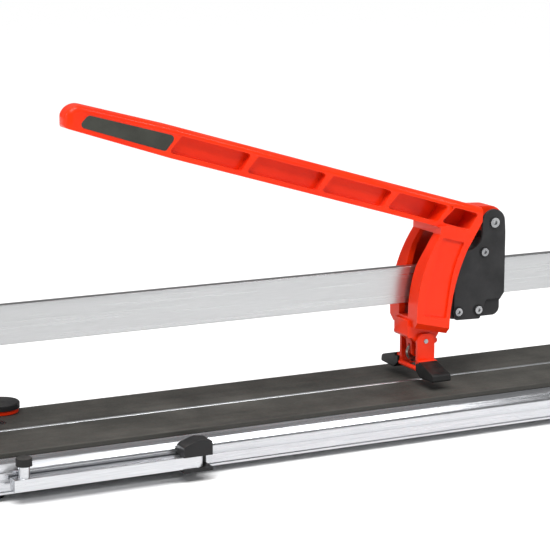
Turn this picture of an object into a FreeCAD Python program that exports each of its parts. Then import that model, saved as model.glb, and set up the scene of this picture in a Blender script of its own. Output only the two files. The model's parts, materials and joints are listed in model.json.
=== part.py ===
"""Manual tile cutter: extruded bed, flat guide rail, rolling carriage and a scoring and breaking lever.

Frame: +X along the rail, +Y to the back, +Z up.  The origin is under the middle of the bed, on the bench.
All lengths are in millimetres.
"""
import FreeCAD, Part
import math
import os

import Sketcher

V = FreeCAD.Vector
doc = FreeCAD.newDocument("TileCutter")
sheet = doc.addObject("Spreadsheet::Sheet", "Sizes")

DRIVING = {
    # bed
    "bed_length": 1100, "bed_shoulder": 11.4, "bed_height": 34, "bed_wall": 3, "cap_thickness": 6,
    "foot_height": 8, "foot_radius": 13, "foot_inset": 70, "foot_from_edge": 28,
    "mat_thickness": 5, "mat_width": 74.1, "mat_gap": 0.2, "ridge_width": 4.6, "ridge_proud": 0.5,
    "foot_screw_radius": 2.4, "stud_radius": 3.9, "stud_head_radius": 7.5, "hole_slack": 0.2,
    # rail and its posts
    "rail_height": 40, "rail_thickness": 10, "rail_gap": 89, "rail_inset": 11, "post_length": 46,
    "post_foot_half": 34, "post_foot_height": 10, "post_half": 15, "post_cap": 8, "bumper_length": 10,
    "clamp_bolt_radius": 4, "clamp_bolt_pitch": 18, "clamp_setback": 14, "post_bolt_radius": 4,
    "post_head_radius": 6.5, "post_head_height": 5, "post_step": 12, "bumper_bite": 9, "bumper_half": 12,
    "bumper_lip": 6,
    # carriage
    "roller_radius": 12, "roller_width": 9, "roller_bore": 4, "upper_roller_setback": 12,
    "lower_roller_setback": 44, "roller_clearance": 1.4, "pivot_x": 112, "pivot_over_roller": 20,
    "plate_outer": 23, "plate_thickness": 3, "pivot_bolt_radius": 5, "bolt_head_height": 2.4,
    "bolt_head_radius": 4.4, "pivot_head_radius": 5.4,
    "plate_lug": 14.5, "plate_margin": 5, "notch_radius": 17, "rail_gap_in_core": 0.6,
    # lever
    "lever_reach": 490, "lever_rise": 125.4, "lever_slope": 0.2975, "lever_depth": 33.6,
    "handle_half": 12.5, "head_half": 30, "cheek_wall": 4.3, "panel_depth": 2.7, "tip_taper": 3.2,
    "taper_start": 380, "pivot_cover": 17, "leg_wall": 7, "lug_half": 13, "window_half": 10,
    "window_flare": 4.5, "web_gap": 15, "rim_round": 6.5, "leg_bevel": 6.5, "leg_below_web": 10,
    "rib_lean": 15, "pocket_web": 3.2, "pocket_round": 3, "pocket_low_rim": 5.2, "pocket_high_rim": 8,
    "inlay_depth": 2, "inlay_proud": 0.5, "bush_wall": 1.6, "bush_collar": 8.4, "tine_half": 6,
    "axle_radius": 2.5,
    # scoring wheel and breaker foot
    "wheel_radius": 11, "wheel_thickness": 3, "wheel_setback": 85, "wheel_above_bed": 32,
    "foot_pin_setback": 82, "foot_pin_above_bed": 47, "foot_pin_radius": 2.5, "ear_inner": 15.5,
    "ear_thickness": 4, "pad_reach": 58, "pad_above_bed": 10,
    # supports and fence
    "front_dome_drop": 3, "rear_dome_drop": 12, "bracket_half": 15.5, "arm_inset": 270, "arm_offset": 10,
    "arm_length": 190, "arm_half": 7, "arm_height": 12, "arm_pin_radius": 4, "arm_below_bed": 32,
    "arm_tip_inset": 12,
    "fence_inset": 124, "fence_from_edge": 6.6, "fence_disc_radius": 20, "fence_reach": 64,
    "fence_half": 12, "fence_step": 6, "stud_inset": 109, "stud_y": 30, "fence_thickness": 4.4,
    "knob_height": 6.6,
    # fits
    "running_fit": 0.05, "assembly_fit": 0.2, "swing_gap": 0.5,
}

for row, (alias, number) in enumerate(DRIVING.items(), start=1):
    sheet.set(f"A{row}", alias)
    sheet.set(f"B{row}", str(number))
    sheet.setAlias(f"B{row}", alias)
doc.recompute()


class Dim:
    """A size that carries its value and the expression that ties it to the sheet."""

    def __init__(self, value, text):
        self.value = float(value)
        self.text = text

    def _join(self, other, sign, value):
        return Dim(value, f"({self.text} {sign} {dim(other).text})")

    def __add__(self, other):
        return self._join(other, "+", self.value + dim(other).value)

    def __sub__(self, other):
        return self._join(other, "-", self.value - dim(other).value)

    def __mul__(self, other):
        return self._join(other, "*", self.value * dim(other).value)

    def __truediv__(self, other):
        return self._join(other, "/", self.value / dim(other).value)

    def __neg__(self):
        return Dim(-self.value, f"(0 - {self.text})")

    def __radd__(self, other):
        return dim(other) + self

    def __rsub__(self, other):
        return dim(other) - self

    def __rmul__(self, other):
        return dim(other) * self


def dim(number):
    """Any plain number as a Dim."""
    return number if isinstance(number, Dim) else Dim(number, repr(float(number)))


class Sizes:
    """Gives each cell of the sheet as a Dim."""

    def __getattr__(self, name):
        return Dim(sheet.get(name), f"Sizes.{name}")


s = Sizes()
PLANES = {"XY": "XY_Plane", "XZ": "XZ_Plane", "YZ": "YZ_Plane"}
NORMAL = {"XY": V(0, 0, 1), "XZ": V(0, 1, 0), "YZ": V(1, 0, 0)}


class Circle:
    """A round loop in a sketch."""

    def __init__(self, x, y, radius):
        self.x, self.y, self.radius = dim(x), dim(y), dim(radius)


def tie(target, prop, size):
    """Binds one property to the sheet."""
    target.setExpression(prop, dim(size).text)


def arc_middle(start, end, radius):
    """The middle of the arc from start to end; a positive radius has its centre on the left of the way."""
    chord = end - start
    half = chord.Length / 2
    left = V(-chord.y, chord.x, 0).normalize()
    side = math.copysign(1, radius)
    rise = abs(radius) - math.sqrt(radius * radius - half * half)
    return (start + end) / 2 - left * (side * rise)


def draw_loop(sketch, loop):
    """Adds one closed loop of corners.

    A corner is (x, y), (x, y, "round", r), or (x, y, "arc", r) where an arc follows it.
    """
    corners = [V(dim(c[0]).value, dim(c[1]).value, 0) for c in loop]
    ids = []
    for i, corner in enumerate(loop):
        start, end = corners[i], corners[(i + 1) % len(loop)]
        if len(corner) > 2 and corner[2] == "arc":
            radius = dim(corner[3])
            middle = arc_middle(start, end, radius.value)
            ids.append(sketch.addGeometry(Part.Arc(start, middle, end), False))
        else:
            ids.append(sketch.addGeometry(Part.LineSegment(start, end), False))
    ends = []
    for i, corner in enumerate(loop):
        is_arc = len(corner) > 2 and corner[2] == "arc"
        turned = is_arc and dim(corner[3]).value < 0
        ends.append((2, 1) if turned else (1, 2))
    for i, corner in enumerate(loop):
        following = (i + 1) % len(loop)
        meeting = (ids[i], ends[i][1], ids[following], ends[following][0])
        sketch.addConstraint(Sketcher.Constraint("Coincident", *meeting))
        for kind, size in (("DistanceX", dim(corner[0])), ("DistanceY", dim(corner[1]))):
            index = sketch.addConstraint(Sketcher.Constraint(kind, -1, 1, ids[i], ends[i][0], size.value))
            sketch.setExpression(f"Constraints[{index}]", size.text)
        if len(corner) > 2 and corner[2] == "arc":
            radius = dim(corner[3])
            size = radius if radius.value > 0 else -radius
            index = sketch.addConstraint(Sketcher.Constraint("Radius", ids[i], size.value))
            sketch.setExpression(f"Constraints[{index}]", size.text)


def draw_circle(sketch, circle):
    """Adds one round loop."""
    centre = V(circle.x.value, circle.y.value, 0)
    shape = sketch.addGeometry(Part.Circle(centre, V(0, 0, 1), circle.radius.value), False)
    for kind, size in (("DistanceX", circle.x), ("DistanceY", circle.y)):
        index = sketch.addConstraint(Sketcher.Constraint(kind, -1, 1, shape, 3, size.value))
        sketch.setExpression(f"Constraints[{index}]", size.text)
    index = sketch.addConstraint(Sketcher.Constraint("Radius", shape, circle.radius.value))
    sketch.setExpression(f"Constraints[{index}]", circle.radius.text)


class Piece:
    """One PartDesign body, built from sketches on its own origin planes."""

    def __init__(self, label):
        self.body = doc.addObject("PartDesign::Body", label)
        self.body.Label = label
        self.label = label

    def _sketch(self, plane, offset, loops):
        sketch = self.body.newObject("Sketcher::SketchObject", f"{self.label}_profile")
        support = next(f for f in self.body.Origin.OriginFeatures if f.Role == PLANES[plane])
        sketch.AttachmentSupport = [(support, "")]
        sketch.MapMode = "FlatFace"
        tie(sketch, ".AttachmentOffset.Base.z", offset)
        for loop in loops:
            if isinstance(loop, Circle):
                draw_circle(sketch, loop)
            else:
                draw_loop(sketch, loop)
        return sketch

    def pad(self, plane, low, high, *loops):
        """Adds the loops, drawn on a plane, from low to high along that plane's axis."""
        offset = -dim(high) if plane == "XZ" else dim(low)
        sketch = self._sketch(plane, offset, loops)
        pad = self.body.newObject("PartDesign::Pad", f"{self.label}_pad")
        pad.Profile = sketch
        tie(pad, "Length", dim(high) - low)
        doc.recompute()
        self._round_corners(plane, loops)
        return self

    def pocket(self, plane, low, high, *loops):
        """Cuts the loops from low to high along the plane's axis."""
        before = self.volume()
        offset = -dim(low) if plane == "XZ" else dim(high)
        sketch = self._sketch(plane, offset, loops)
        pocket = self.body.newObject("PartDesign::Pocket", f"{self.label}_pocket")
        pocket.Profile = sketch
        tie(pocket, "Length", dim(high) - low)
        doc.recompute()
        if self.volume() >= before - 1e-6:
            raise RuntimeError(f"{self.label}: a pocket cuts nothing")
        self._round_corners(plane, loops)
        return self

    def _round_corners(self, plane, loops):
        for loop in loops:
            if isinstance(loop, Circle):
                continue
            rounded = [c for c in loop if len(c) > 2 and c[2] == "round"]
            for radius in {dim(c[3]).text: c[3] for c in rounded}.values():
                spots = [c for c in rounded if dim(c[3]).text == dim(radius).text]
                self.fillet(radius, lambda e, spots=spots: runs_through(e, plane, spots))

    def fillet(self, radius, wanted):
        """Rounds every edge for which wanted(edge) is true."""
        return self._dress("PartDesign::Fillet", "Radius", radius, wanted)

    def chamfer(self, size, wanted):
        """Bevels every edge for which wanted(edge) is true."""
        return self._dress("PartDesign::Chamfer", "Size", size, wanted)

    def _dress(self, kind, prop, size, wanted):
        tip = self.body.Tip
        names = [f"Edge{i + 1}" for i, e in enumerate(tip.Shape.Edges) if wanted(e)]
        if not names:
            raise RuntimeError(f"{self.label}: no edge to dress")
        dress = self.body.newObject(kind, f"{self.label}_dress")
        dress.Base = (tip, names)
        tie(dress, prop, size)
        doc.recompute()
        if "Invalid" in dress.State:
            raise RuntimeError(f"{self.label}: {kind} of {dim(size).text} failed on {names}")
        return self

    def volume(self):
        """The volume so far."""
        return self.body.Shape.Volume if self.body.Tip else 0.0


def runs_through(edge, plane, spots):
    """True for a straight edge along the plane's normal at one of the sketch points."""
    if edge.Curve.TypeId != "Part::GeomLine":
        return False
    if abs(edge.tangentAt(edge.FirstParameter).dot(NORMAL[plane])) < 0.999:
        return False
    p = edge.Vertexes[0].Point
    u, v = {"XY": (p.x, p.y), "XZ": (p.x, p.z), "YZ": (p.y, p.z)}[plane]
    return any(abs(u - dim(c[0]).value) < 0.01 and abs(v - dim(c[1]).value) < 0.01 for c in spots)


def along(axis):
    """A test for straight edges that run along one axis."""
    direction = {"X": V(1, 0, 0), "Y": V(0, 1, 0), "Z": V(0, 0, 1)}[axis]

    def test(edge):
        straight = edge.Curve.TypeId == "Part::GeomLine"
        return straight and abs(edge.tangentAt(edge.FirstParameter).dot(direction)) > 0.999
    return test


def is_round(edge):
    """True for an edge that is a circle or an arc."""
    return edge.Curve.TypeId == "Part::GeomCircle"


def rectangle(x0, x1, y0, y1, radius=None):
    """A rectangular loop, with rounded corners if a radius is given."""
    extra = () if radius is None else ("round", radius)
    return [(x0, y0) + extra, (x1, y0) + extra, (x1, y1) + extra, (x0, y1) + extra]


TURN = {
    "X": FreeCAD.Rotation(V(0, 1, 0), 90),
    "Y": FreeCAD.Rotation(V(1, 0, 0), -90),
    "Z": FreeCAD.Rotation(),
}


def place(target, x, y, z, axis="Z"):
    """Puts a primitive at a point, with its own +Z along the axis."""
    target.Placement = FreeCAD.Placement(V(), TURN[axis])
    tie(target, ".Placement.Base.x", x)
    tie(target, ".Placement.Base.y", y)
    tie(target, ".Placement.Base.z", z)
    return target


def rod(axis, x, y, z, radius, length):
    """A cylinder that starts at the point and runs along the axis."""
    solid = doc.addObject("Part::Cylinder", "Rod")
    tie(solid, "Radius", radius)
    tie(solid, "Height", length)
    return place(solid, x, y, z, axis)


def cone(axis, x, y, z, radius_low, radius_high, length):
    """A cone frustum that starts at the point and runs along the axis."""
    solid = doc.addObject("Part::Cone", "Taper")
    tie(solid, "Radius1", radius_low)
    tie(solid, "Radius2", radius_high)
    tie(solid, "Height", length)
    return place(solid, x, y, z, axis)


def hexagon(axis, x, y, z, radius, length):
    """A six-sided prism that starts at the point and runs along the axis."""
    solid = doc.addObject("Part::Prism", "Hexagon")
    solid.Polygon = 6
    tie(solid, "Circumradius", radius)
    tie(solid, "Height", length)
    return place(solid, x, y, z, axis)


def block(x0, x1, y0, y1, z0, z1):
    """A plain box between two corners."""
    solid = doc.addObject("Part::Box", "Block")
    tie(solid, "Length", dim(x1) - x0)
    tie(solid, "Width", dim(y1) - y0)
    tie(solid, "Height", dim(z1) - z0)
    return place(solid, x0, y0, z0)


def joined(label, *solids):
    """One solid out of several."""
    result = doc.addObject("Part::MultiFuse", label)
    result.Shapes = list(solids)
    result.Label = label
    return result


def without(label, base, *tools):
    """The base with the tools cut away."""
    result = doc.addObject("Part::Cut", label)
    result.Base = base
    result.Tool = tools[0] if len(tools) == 1 else joined("Tools", *tools)
    result.Label = label
    return result


def group(label, *solids):
    """Separate solids that share one node."""
    result = doc.addObject("Part::Compound", label)
    result.Links = list(solids)
    result.Label = label
    return result


nodes = []


def keep(piece):
    """Registers a finished sub-part."""
    nodes.append(piece.body if isinstance(piece, Piece) else piece)
    return piece


def socket_bolt(name, x, y, z, way, shank, head, head_height, length):
    """A bolt along Y; way is -1 with the head to the front.  The point is under the head."""
    if way < 0:
        head_solid = rod("Y", x, dim(y) - head_height, z, head, head_height)
        shank_solid = rod("Y", x, y, z, shank, length)
        socket = hexagon("Y", x, dim(y) - head_height, z, head * 0.5, head_height * 0.7)
    else:
        head_solid = rod("Y", x, y, z, head, head_height)
        shank_solid = rod("Y", x, dim(y) - length, z, shank, length)
        socket = hexagon("Y", x, dim(y) + head_height * 0.3, z, head * 0.5, head_height * 0.7)
    return without(name, joined(name + "_blank", head_solid, shank_solid), socket)


def down_bolt(name, x, y, z, shank, head, head_height, length):
    """A socket bolt that points down; the point is under its head."""
    head_solid = rod("Z", x, y, z, head, head_height)
    shank_solid = rod("Z", x, y, dim(z) - length, shank, length)
    socket = hexagon("Z", x, y, dim(z) + head_height * 0.4, head * 0.5, head_height * 0.6)
    return without(name, joined(name + "_blank", head_solid, shank_solid), socket)


# ---------------------------------------------------------------- levels and stations
half_length = s.bed_length / 2
mat_inner = s.ridge_width / 2 + s.mat_gap
mat_outer = mat_inner + s.mat_width
half_width = mat_outer + s.bed_shoulder
deck = s.foot_height + s.bed_height
bed = deck + s.mat_thickness
rail_low = bed + s.rail_gap
rail_high = rail_low + s.rail_height
rail_half = s.rail_thickness / 2
frame_end = half_length - s.cap_thickness
post_face = frame_end - s.post_length
bumper_face = post_face - s.bumper_length
pivot_z = rail_high + s.roller_radius * 2 + s.pivot_over_roller
upper_axis = rail_high + s.roller_radius + s.running_fit
lower_axis = rail_low - s.roller_radius - s.running_fit
wheel_z = bed + s.wheel_above_bed
pin_z = bed + s.foot_pin_above_bed
pin_x = s.pivot_x - s.foot_pin_setback
wheel_x = s.pivot_x - s.wheel_setback
upper_roller_x = s.pivot_x - s.upper_roller_setback
lower_roller_x = s.pivot_x - s.lower_roller_setback
roller_pitch = s.roller_radius * 2 + s.roller_clearance
arm_x = half_length - s.arm_inset
arm_y = half_width + s.arm_offset
fence_x = s.fence_inset - half_length
fence_y = mat_outer - s.fence_from_edge
stud_x = half_length - s.stud_inset
ENDS = (("left", -1), ("right", 1))
SIDES = (("front", -1), ("rear", 1))


def foot_spots():
    """Where the four feet stand."""
    return [((half_length - s.foot_inset) * i, (half_width - s.foot_from_edge) * j)
            for i in (-1, 1) for j in (-1, 1)]


def post_bolt_spots(way):
    """The two bolts that hold a post down."""
    x = (post_face + frame_end) / 2 * way
    y = s.post_half + (s.post_foot_half - s.post_half) / 2
    return [(x, -y), (x, y)]


def clamp_bolt_spots(way):
    """The two cross bolts that hold one end of the rail."""
    middle = (rail_low + rail_high) / 2
    x = (half_length - s.rail_inset - s.clamp_setback) * way
    return [(x, middle - s.clamp_bolt_pitch / 2), (x, middle + s.clamp_bolt_pitch / 2)]


# ---------------------------------------------------------------- bed
def bed_profile():
    """The outline of the extruded bed, from the front foot round to the back foot."""
    right = [
        (half_width - 4, s.foot_height), (half_width - 4, s.foot_height + 2),
        (half_width - 6, s.foot_height + 2), (half_width - 6, s.foot_height + 12),
        (half_width - 3, s.foot_height + 12.6, "round", 1.5), (half_width, s.foot_height + 17, "round", 4),
        (half_width, deck - 10.5, "round", 6), (half_width - 5, deck - 4.2, "round", 3),
        (half_width - 10.5, deck, "round", 1.2),
    ]
    left = [(-dim(p[0]), p[1]) + tuple(p[2:]) for p in reversed(right)]
    return right + left


frame = Piece("bed_frame")
frame.pad("YZ", -frame_end, frame_end, bed_profile())
chamber = (half_width - 6 - s.bed_wall * 4) / 3 * 2
for step in (-1, 0, 1):
    middle = (chamber + s.bed_wall) * step
    frame.pocket("YZ", -frame_end, frame_end, rectangle(
        middle - chamber / 2, middle + chamber / 2, s.foot_height + s.bed_wall, deck - s.bed_wall, 2))
frame.pocket("XY", s.foot_height - 1, s.foot_height + s.bed_wall + 1,
             *[Circle(x, y, s.foot_screw_radius + s.hole_slack) for x, y in foot_spots()])
frame.pocket("XY", deck - s.bed_wall - 6, deck + 1,
             *[Circle(x, y, s.post_bolt_radius + s.hole_slack)
               for way in (-1, 1) for x, y in post_bolt_spots(way)],
             *[Circle(x, s.stud_y, s.stud_radius + s.hole_slack) for x in (stud_x, -stud_x)],
             Circle(fence_x, fence_y, s.stud_radius + s.hole_slack))
frame.pocket("XY", deck - s.bed_wall - 6.2, deck - s.bed_wall, Circle(fence_x, fence_y, 7.2))
keep(frame)

for name, way in ENDS:
    cap = Piece(f"{name}_end_cap")
    low, high = (frame_end, half_length) if way > 0 else (-half_length, -frame_end)
    cap.pad("YZ", low, high, rectangle(-half_width, half_width, s.foot_height, deck, 8))
    face = half_length.value * way
    cap.fillet(2.5, lambda e, face=face: abs(e.CenterOfMass.x - face) < 0.01)
    keep(cap)

keep(group("rubber_feet", *[
    without("Foot", cone("Z", x, y, 0, s.foot_radius, s.foot_radius + 2, s.foot_height),
            rod("Z", x, y, -1, 4.8, 4), rod("Z", x, y, 2, s.foot_screw_radius + s.hole_slack, s.foot_height))
    for x, y in foot_spots()]))
keep(group("foot_screws", *[
    without("FootScrew", joined("FootScrewBlank", rod("Z", x, y, 1, 4.4, 2),
                                rod("Z", x, y, 2.5, s.foot_screw_radius, s.foot_height + s.bed_wall + 1)),
            hexagon("Z", x, y, 0.5, 2, 1.6)) for x, y in foot_spots()]))

for name, way in SIDES:
    mat = Piece(f"{name}_mat")
    low, high = (mat_inner, mat_outer) if way > 0 else (-mat_outer, -mat_inner)
    mat.pad("YZ", -post_face + s.assembly_fit, post_face - s.assembly_fit, rectangle(low, high, deck, bed))
    mat.chamfer(0.7, lambda e: along("X")(e) and abs(e.CenterOfMass.z - bed.value) < 0.01)
    if way > 0:
        mat.pocket("XY", deck - 1, bed + 1,
                   *[Circle(x, s.stud_y, s.stud_head_radius + s.hole_slack) for x in (stud_x, -stud_x)],
                   Circle(fence_x, fence_y, s.stud_radius + s.hole_slack))
    keep(mat)

ridge = Piece("breaking_ridge")
ridge.pad("YZ", -post_face + s.assembly_fit, post_face - s.assembly_fit,
          rectangle(-s.ridge_width / 2, s.ridge_width / 2, deck, bed + s.ridge_proud))
ridge.fillet(1.2, lambda e: along("X")(e) and e.CenterOfMass.z > bed.value)
keep(ridge)

keep(group("mat_studs", *[
    down_bolt("MatStud", stud_x * way, s.stud_y, deck, s.stud_radius, s.stud_head_radius, s.mat_thickness,
              s.bed_wall + 2)
    for way in (-1, 1)]))

# ---------------------------------------------------------------- rail and posts
rail = Piece("guide_rail")
rail_end = half_length - s.rail_inset
rail.pad("YZ", -rail_end, rail_end, rectangle(-rail_half, rail_half, rail_low, rail_high, 0.6))
rail.pocket("XZ", -rail_half - 1, rail_half + 1,
            *[Circle(x, z, s.clamp_bolt_radius + s.assembly_fit) for way in (-1, 1)
              for x, z in clamp_bolt_spots(way)])
keep(rail)

for name, way in ENDS:
    post = Piece(f"{name}_rail_post")
    side = dim(way)
    outline = [
        (frame_end * side, deck), (frame_end * side, rail_high + s.post_cap, "round", 6),
        ((post_face + s.post_step) * side, rail_high + s.post_cap, "round", 9),
        ((post_face + s.post_step) * side, rail_low + 4, "round", 30),
        (post_face * side, deck + s.post_foot_height, "round", 3), (post_face * side, deck),
    ]
    post.pad("XZ", -s.post_half, s.post_half, outline)
    foot_low, foot_high = (post_face, frame_end) if way > 0 else (-frame_end, -post_face)
    post.pad("XY", deck, deck + s.post_foot_height,
             rectangle(foot_low, foot_high, -s.post_foot_half, s.post_foot_half, 5))
    slot_low, slot_high = ((post_face, rail_end + 0.5) if way > 0 else (-rail_end - 0.5, -post_face))
    snug = rail_half + s.running_fit
    post.pocket("YZ", slot_low, slot_high,
                rectangle(-snug, snug, rail_low - s.running_fit, rail_high + s.post_cap + 1))
    post.pocket("XZ", -s.post_half - 1, s.post_half + 1,
                *[Circle(x, z, s.clamp_bolt_radius + s.assembly_fit) for x, z in clamp_bolt_spots(way)])
    post.pocket("XY", deck - 1, deck + s.post_foot_height + 1,
                *[Circle(x, y, s.post_bolt_radius + s.hole_slack) for x, y in post_bolt_spots(way)])
    keep(post)
    bumper = Piece(f"{name}_bumper")
    bumper_back = post_face + s.bumper_bite
    low, high = (bumper_face, bumper_back) if way > 0 else (-bumper_back, -bumper_face)
    bumper.pad("YZ", low, high, rectangle(
        -s.bumper_half, s.bumper_half, rail_low - s.bumper_lip, rail_high + s.bumper_lip, 4))
    bumper.pocket("YZ", low, high,
                  rectangle(-snug, snug, rail_low - s.running_fit, rail_high + s.running_fit))
    keep(bumper)

keep(group("post_bolts", *[
    down_bolt("PostBolt", x, y, deck + s.post_foot_height, s.post_bolt_radius, s.post_head_radius,
              s.post_head_height, s.post_foot_height + s.bed_wall + 4)
    for way in (-1, 1) for x, y in post_bolt_spots(way)]))
keep(group("rail_clamp_bolts", *[
    socket_bolt("ClampBolt", x, -s.post_half, z, -1, s.clamp_bolt_radius, s.post_head_radius,
                s.post_head_height, s.post_half * 2 + 8)
    for way in (-1, 1) for x, z in clamp_bolt_spots(way)]))
keep(group("rail_clamp_nuts", *[
    without("ClampNut", hexagon("Y", x, s.post_half, z, 7.5, 6.5),
            rod("Y", x, s.post_half - 1, z, s.clamp_bolt_radius + s.running_fit, 9))
    for way in (-1, 1) for x, z in clamp_bolt_spots(way)]))

# ---------------------------------------------------------------- carriage
plate_right = s.pivot_x + 15.3
plate_left = lower_roller_x - s.plate_margin
plate_low = lower_axis - 10.5
shoulder_z = upper_axis + 3.5


def plate_outline():
    """A side plate: round lug about the pivot, notch under the lever's hub, and a stepped lower corner."""
    lug = s.plate_lug
    return [
        (s.pivot_x - lug, pivot_z, "arc", -lug), (s.pivot_x, pivot_z + lug, "arc", -lug),
        (s.pivot_x + lug, pivot_z),
        (plate_right, pivot_z - 12), (plate_right, rail_low + 4.5, "round", 2),
        (plate_right - 4.6, rail_low - 1.8), (plate_right - 24, rail_low - 2, "round", 3),
        (plate_right - 31, plate_low, "round", 3), (plate_left, plate_low + 1, "round", 5),
        (plate_left, rail_high - 6, "round", 8), (plate_left + 8, shoulder_z - 3, "round", 5),
        (s.pivot_x - lug - s.notch_radius, shoulder_z, "arc", s.notch_radius),
        (s.pivot_x - lug, shoulder_z + s.notch_radius),
    ]


roller_spots = [(upper_roller_x, upper_axis), (lower_roller_x, lower_axis),
                (lower_roller_x + roller_pitch, lower_axis)]
roller_bolt = s.roller_bore - s.running_fit


def on_outline(edge, face):
    """True for an edge of a plate's outer face that isn't the rim of a bolt hole."""
    box = edge.BoundBox
    on_face = abs(box.YMax - face) < 0.01 and abs(box.YMin - face) < 0.01
    return on_face and not edge.isClosed()


for name, way in SIDES:
    plate = Piece(f"carriage_{name}_plate")
    inner = s.plate_outer - s.plate_thickness
    low, high = (inner, s.plate_outer) if way > 0 else (-s.plate_outer, -inner)
    plate.pad("XZ", low, high, plate_outline())
    plate.pocket("XZ", low - 1, high + 1, Circle(s.pivot_x, pivot_z, s.pivot_bolt_radius + s.running_fit),
                 *[Circle(x, z, roller_bolt + s.assembly_fit) for x, z in roller_spots])
    plate.fillet(0.8, lambda e, face=s.plate_outer.value * way: on_outline(e, face))
    keep(plate)

core_half = s.plate_outer - s.plate_thickness - s.running_fit
core = Piece("carriage_core")
core.pad("XZ", -core_half, core_half, [
    (plate_right - 2.5, pivot_z - 17.5, "round", 3), (plate_right - 2.5, rail_low - 2, "round", 3),
    (plate_right - 4.8, rail_low - 4), (plate_right - 4.8, plate_low + 2.2, "round", 9),
    (plate_left - 3.5, plate_low + 2.2, "round", 3), (plate_left - 3.5, rail_high - 10, "round", 6),
    (plate_left + 9, shoulder_z - 7, "round", 4), (s.pivot_x - 18, shoulder_z + 1, "round", 6),
    (s.pivot_x - 11, pivot_z - 17.5, "round", 3),
])
core.pocket("YZ", plate_left - 20, plate_right + 10, rectangle(
    -rail_half - s.rail_gap_in_core, rail_half + s.rail_gap_in_core,
    rail_low - s.rail_gap_in_core, rail_high + s.rail_gap_in_core))
pocket_half = s.roller_width / 2 + s.swing_gap
core.pocket("XZ", -pocket_half, pocket_half, *[
    Circle(x, z, s.roller_radius + s.swing_gap) for x, z in roller_spots[:2]])
core.pocket("XZ", -pocket_half, pocket_half, Circle(
    roller_spots[2][0], roller_spots[2][1], s.roller_radius + s.swing_gap))
core.pocket("XZ", -core_half - 1, core_half + 1, *[
    Circle(x, z, roller_bolt + s.assembly_fit) for x, z in roller_spots])
keep(core)

for name, (x, z) in zip(("upper_roller", "lower_left_roller", "lower_right_roller"), roller_spots):
    tread = Piece(name)
    tread.pad("XZ", -s.roller_width / 2, s.roller_width / 2,
              Circle(x, z, s.roller_radius), Circle(x, z, s.roller_bore))
    tread.chamfer(0.8, lambda e: is_round(e) and e.Curve.Radius > s.roller_radius.value - 0.1)
    keep(tread)

keep(group("roller_bolts", *[
    socket_bolt("RollerBolt", x, -s.plate_outer, z, -1, roller_bolt, s.bolt_head_radius, s.bolt_head_height,
                s.plate_outer * 2 - s.running_fit) for x, z in roller_spots]))
stub_radius = s.pivot_bolt_radius + s.assembly_fit
keep(joined("pivot_bolt", socket_bolt(
    "PivotBolt", s.pivot_x, -s.plate_outer, pivot_z, -1, s.pivot_bolt_radius, s.pivot_head_radius,
    s.bolt_head_height + 0.4, s.plate_outer * 2 + 2), rod(
        "Y", s.pivot_x, s.plate_outer, pivot_z, stub_radius, 2)))
keep(without("pivot_nut", hexagon("Y", s.pivot_x, s.plate_outer, pivot_z, 8, 5.5),
             rod("Y", s.pivot_x, s.plate_outer - 1, pivot_z, stub_radius + s.running_fit, 4),
             rod("Y", s.pivot_x, s.plate_outer + 2, pivot_z, s.pivot_bolt_radius, 4)))

# ---------------------------------------------------------------- lever
tip_x = s.pivot_x - s.lever_reach
tip_low = pivot_z + s.lever_rise
web_top = rail_low - s.web_gap
leg_left = s.pivot_x - 99
leg_right = s.pivot_x - 59
leg_bottom = web_top - s.leg_below_web
leg_drop = 9.6
neck_top = pivot_z - 7.4
taper_x = s.pivot_x - s.taper_start
tip_round = s.lever_depth * 0.47


def lever_low(x):
    """The lever's lower line."""
    return tip_low - (dim(x) - tip_x) * s.lever_slope


def lever_high(x):
    """The lever's upper line."""
    return lever_low(x) + s.lever_depth


def off(x):
    """A station measured from the pivot."""
    return s.pivot_x + x


lever = Piece("lever_arm")
lever.pad("XZ", -s.head_half, s.head_half, [
    (tip_x, lever_low(tip_x) + s.tip_taper, "round", 5), (taper_x, lever_low(taper_x)),
    (off(-71.5), lever_low(off(-71.5)), "round", 2),
    (off(-71.6), neck_top, "arc", 150), (leg_left, leg_bottom),
    (leg_right, leg_bottom - leg_drop, "arc", -200), (off(-37.6), pivot_z - 26.5),
    (off(-19.3), pivot_z + 2.8, "round", 3),
    (off(-18.7), lever_high(off(-18.7))), (taper_x, lever_high(taper_x)),
    (tip_x, lever_high(tip_x) - s.tip_taper, "round", tip_round),
])
flare = s.head_half + 1
for way in (-1, 1):
    side = dim(way)
    lever.pocket("XY", lever_low(off(-71.5)) + 0.5, tip_low + 60, [
        (tip_x - 10, 3 * side), (tip_x - 0.5, 3 * side, "arc", -11 * way),
        (tip_x + 9, s.handle_half * side), (off(-142), s.handle_half * side, "arc", 220 * way),
        (off(-56), s.head_half * side), (off(-56), flare * side), (tip_x - 10, flare * side)])


def on_upper_rim(edge):
    """The long outer edges of the handle and the head, along the upper line."""
    box, middle = edge.BoundBox, edge.CenterOfMass
    outer = min(abs(box.YMin), abs(box.YMax)) > s.handle_half.value - 9
    near = abs(middle.z - lever_high(middle.x).value) < 6
    return outer and near and box.XLength > 1.5 and middle.x < off(-20).value


lever.fillet(s.rim_round, on_upper_rim)



def on_leg_bottom(edge):
    """The lower outer edge of each cheek."""
    outer = abs(abs(edge.CenterOfMass.y) - s.head_half.value) < 0.01
    return outer and edge.BoundBox.ZMax < leg_bottom.value + 0.1


lever.chamfer(s.leg_bevel, on_leg_bottom)

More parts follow.
